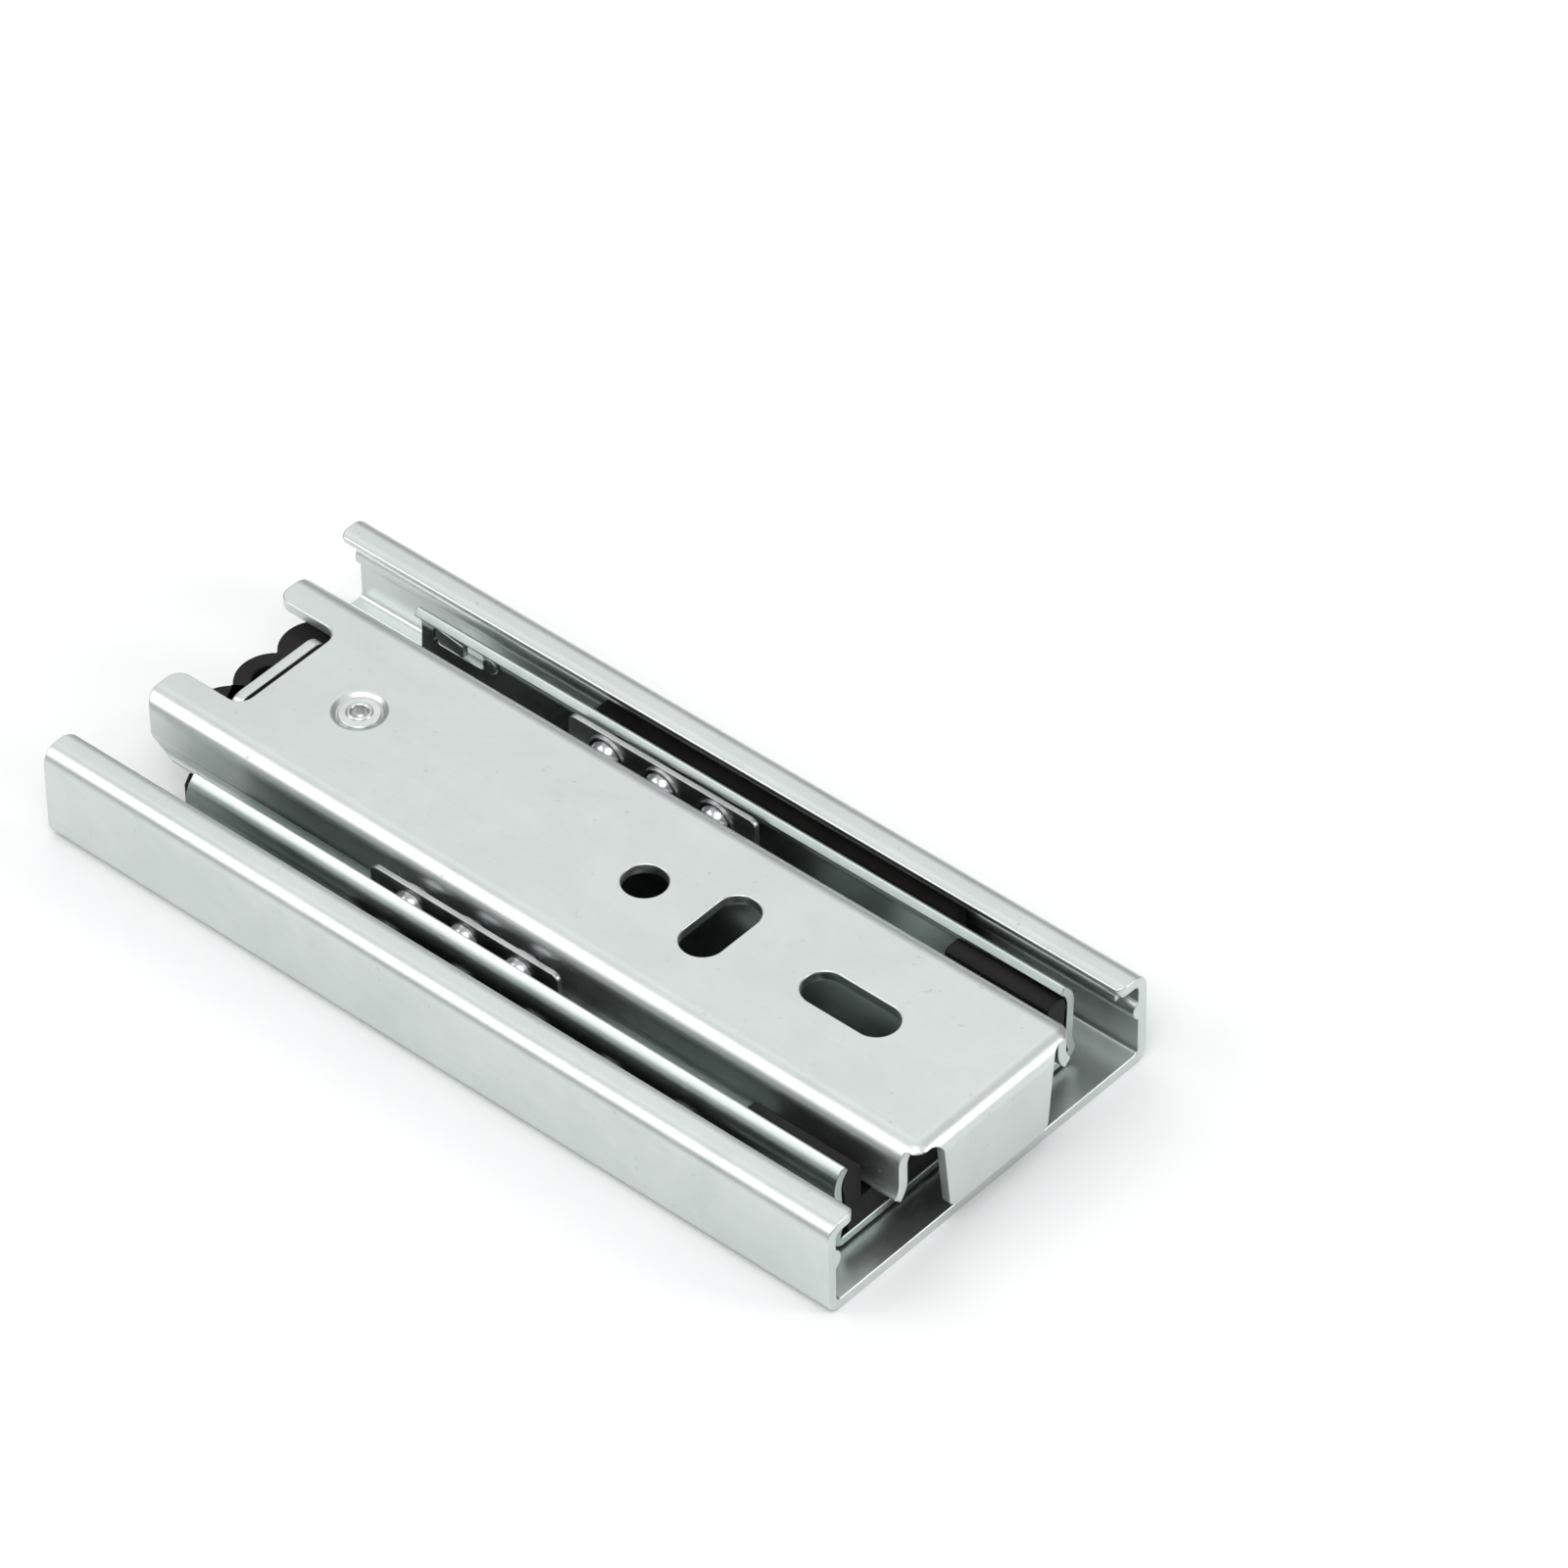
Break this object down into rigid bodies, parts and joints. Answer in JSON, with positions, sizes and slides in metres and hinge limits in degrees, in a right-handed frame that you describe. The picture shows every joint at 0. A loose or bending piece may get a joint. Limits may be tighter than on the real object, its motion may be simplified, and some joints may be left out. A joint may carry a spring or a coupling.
{
  "type": "ball bearing drawer slide",
  "caption": "Short telescopic ball bearing drawer slide: nested steel channels that run on caged balls, with a flat drawer plate, a round-lobed rear bumper and a bent-down front flap.",
  "frame": {"origin": "centre of the cabinet member's mounting face, which lies on the cabinet wall", "axes": "+X along the travel, out of the cabinet; +Z away from the cabinet wall, to the drawer; +Y across the slide"},
  "size_m": [0.1013, 0.0454, 0.0127],
  "materials": {
    "zinc_steel": "bright zinc plate",
    "cage_steel": "satin",
    "bright_steel": "bright",
    "ball_steel": "polished",
    "black_plastic": "satin",
    "black_rubber": "matte"
  },
  "bodies": {
    "cabinet": {"cabinet_member": "zinc_steel", "rear_bumper": "black_rubber"},
    "intermediate": {"intermediate_member": "zinc_steel", "front_stop": "black_plastic"},
    "drawer": {"drawer_member": "zinc_steel", "lever_rivet": "bright_steel"},
    "lever": {"release_lever": "black_plastic"},
    "inner_cage": {"inner_ball_cage": "cage_steel"},
    "outer_retainer_left": {"outer_retainer_left": "black_plastic"},
    "outer_retainer_right": {"outer_retainer_right": "black_plastic"},
    "inner_ball_left_1": {"inner_ball_left_1": "ball_steel"},
    "inner_ball_left_2": {"inner_ball_left_2": "ball_steel"},
    "inner_ball_left_3": {"inner_ball_left_3": "ball_steel"},
    "inner_ball_right_1": {"inner_ball_right_1": "ball_steel"},
    "inner_ball_right_2": {"inner_ball_right_2": "ball_steel"},
    "inner_ball_right_3": {"inner_ball_right_3": "ball_steel"},
    "outer_ball_left_1": {"outer_ball_left_1": "ball_steel"},
    "outer_ball_left_2": {"outer_ball_left_2": "ball_steel"},
    "outer_ball_left_3": {"outer_ball_left_3": "ball_steel"},
    "outer_ball_left_4": {"outer_ball_left_4": "ball_steel"},
    "outer_ball_left_5": {"outer_ball_left_5": "ball_steel"},
    "outer_ball_right_1": {"outer_ball_right_1": "ball_steel"},
    "outer_ball_right_2": {"outer_ball_right_2": "ball_steel"},
    "outer_ball_right_3": {"outer_ball_right_3": "ball_steel"},
    "outer_ball_right_4": {"outer_ball_right_4": "ball_steel"},
    "outer_ball_right_5": {"outer_ball_right_5": "ball_steel"}
  },
  "joints": [
    {"name": "intermediate_slide", "type": "slide", "parent": "cabinet", "child": "intermediate", "axis": [1, 0, 0], "range_m": [0, 0.034]},
    {"name": "drawer_slide", "type": "slide", "parent": "intermediate", "child": "drawer", "axis": [1, 0, 0], "range_m": [0, 0.046]},
    {"name": "outer_retainer_left_slide", "type": "slide", "parent": "cabinet", "child": "outer_retainer_left", "axis": [1, 0, 0], "range_m": [0, 0.017]},
    {"name": "outer_retainer_right_slide", "type": "slide", "parent": "cabinet", "child": "outer_retainer_right", "axis": [1, 0, 0], "range_m": [0, 0.017]},
    {"name": "inner_cage_slide", "type": "slide", "parent": "intermediate", "child": "inner_cage", "axis": [1, 0, 0], "range_m": [0, 0.023]},
    {"name": "release_lever_pivot", "type": "hinge", "parent": "drawer", "child": "lever", "pos_m": [-0.0295, 0, 0.01], "axis": [0, 0, 1], "range_deg": [0, 14], "stiffness_Nm_per_rad": 0.002},
    {"name": "inner_ball_left_1_spin", "type": "hinge", "parent": "inner_cage", "child": "inner_ball_left_1", "pos_m": [-0.0099, 0.01395, 0.0089], "axis": [0, 0, 1], "continuous": true},
    {"name": "inner_ball_left_2_spin", "type": "hinge", "parent": "inner_cage", "child": "inner_ball_left_2", "pos_m": [-0.0029, 0.01395, 0.0089], "axis": [0, 0, 1], "continuous": true},
    {"name": "inner_ball_left_3_spin", "type": "hinge", "parent": "inner_cage", "child": "inner_ball_left_3", "pos_m": [0.0041, 0.01395, 0.0089], "axis": [0, 0, 1], "continuous": true},
    {"name": "inner_ball_right_1_spin", "type": "hinge", "parent": "inner_cage", "child": "inner_ball_right_1", "pos_m": [-0.0099, -0.01395, 0.0089], "axis": [0, 0, 1], "continuous": true},
    {"name": "inner_ball_right_2_spin", "type": "hinge", "parent": "inner_cage", "child": "inner_ball_right_2", "pos_m": [-0.0029, -0.01395, 0.0089], "axis": [0, 0, 1], "continuous": true},
    {"name": "inner_ball_right_3_spin", "type": "hinge", "parent": "inner_cage", "child": "inner_ball_right_3", "pos_m": [0.0041, -0.01395, 0.0089], "axis": [0, 0, 1], "continuous": true},
    {"name": "outer_ball_left_1_spin", "type": "hinge", "parent": "outer_retainer_left", "child": "outer_ball_left_1", "pos_m": [-0.0118, 0.0192, 0.0046], "axis": [0, 0, 1], "continuous": true},
    {"name": "outer_ball_left_2_spin", "type": "hinge", "parent": "outer_retainer_left", "child": "outer_ball_left_2", "pos_m": [-0.0024, 0.0192, 0.0046], "axis": [0, 0, 1], "continuous": true},
    {"name": "outer_ball_left_3_spin", "type": "hinge", "parent": "outer_retainer_left", "child": "outer_ball_left_3", "pos_m": [0.007, 0.0192, 0.0046], "axis": [0, 0, 1], "continuous": true},
    {"name": "outer_ball_left_4_spin", "type": "hinge", "parent": "outer_retainer_left", "child": "outer_ball_left_4", "pos_m": [0.0164, 0.0192, 0.0046], "axis": [0, 0, 1], "continuous": true},
    {"name": "outer_ball_left_5_spin", "type": "hinge", "parent": "outer_retainer_left", "child": "outer_ball_left_5", "pos_m": [0.0258, 0.0192, 0.0046], "axis": [0, 0, 1], "continuous": true},
    {"name": "outer_ball_right_1_spin", "type": "hinge", "parent": "outer_retainer_right", "child": "outer_ball_right_1", "pos_m": [-0.0118, -0.0192, 0.0046], "axis": [0, 0, 1], "continuous": true},
    {"name": "outer_ball_right_2_spin", "type": "hinge", "parent": "outer_retainer_right", "child": "outer_ball_right_2", "pos_m": [-0.0024, -0.0192, 0.0046], "axis": [0, 0, 1], "continuous": true},
    {"name": "outer_ball_right_3_spin", "type": "hinge", "parent": "outer_retainer_right", "child": "outer_ball_right_3", "pos_m": [0.007, -0.0192, 0.0046], "axis": [0, 0, 1], "continuous": true},
    {"name": "outer_ball_right_4_spin", "type": "hinge", "parent": "outer_retainer_right", "child": "outer_ball_right_4", "pos_m": [0.0164, -0.0192, 0.0046], "axis": [0, 0, 1], "continuous": true},
    {"name": "outer_ball_right_5_spin", "type": "hinge", "parent": "outer_retainer_right", "child": "outer_ball_right_5", "pos_m": [0.0258, -0.0192, 0.0046], "axis": [0, 0, 1], "continuous": true}
  ],
  "couplings": [
    {"joint": "outer_retainer_left_slide", "follows": "intermediate_slide", "ratio": 0.5},
    {"joint": "outer_retainer_right_slide", "follows": "intermediate_slide", "ratio": 0.5},
    {"joint": "inner_cage_slide", "follows": "drawer_slide", "ratio": 0.5},
    {"joint": "inner_ball_left_1_spin", "follows": "drawer_slide", "rad_per_m": 250},
    {"joint": "inner_ball_left_2_spin", "follows": "drawer_slide", "rad_per_m": 250},
    {"joint": "inner_ball_left_3_spin", "follows": "drawer_slide", "rad_per_m": 250},
    {"joint": "inner_ball_right_1_spin", "follows": "drawer_slide", "rad_per_m": -250},
    {"joint": "inner_ball_right_2_spin", "follows": "drawer_slide", "rad_per_m": -250},
    {"joint": "inner_ball_right_3_spin", "follows": "drawer_slide", "rad_per_m": -250},
    {"joint": "outer_ball_left_1_spin", "follows": "intermediate_slide", "rad_per_m": 222.22},
    {"joint": "outer_ball_left_2_spin", "follows": "intermediate_slide", "rad_per_m": 222.22},
    {"joint": "outer_ball_left_3_spin", "follows": "intermediate_slide", "rad_per_m": 222.22},
    {"joint": "outer_ball_left_4_spin", "follows": "intermediate_slide", "rad_per_m": 222.22},
    {"joint": "outer_ball_left_5_spin", "follows": "intermediate_slide", "rad_per_m": 222.22},
    {"joint": "outer_ball_right_1_spin", "follows": "intermediate_slide", "rad_per_m": -222.22},
    {"joint": "outer_ball_right_2_spin", "follows": "intermediate_slide", "rad_per_m": -222.22},
    {"joint": "outer_ball_right_3_spin", "follows": "intermediate_slide", "rad_per_m": -222.22},
    {"joint": "outer_ball_right_4_spin", "follows": "intermediate_slide", "rad_per_m": -222.22},
    {"joint": "outer_ball_right_5_spin", "follows": "intermediate_slide", "rad_per_m": -222.22}
  ]
}
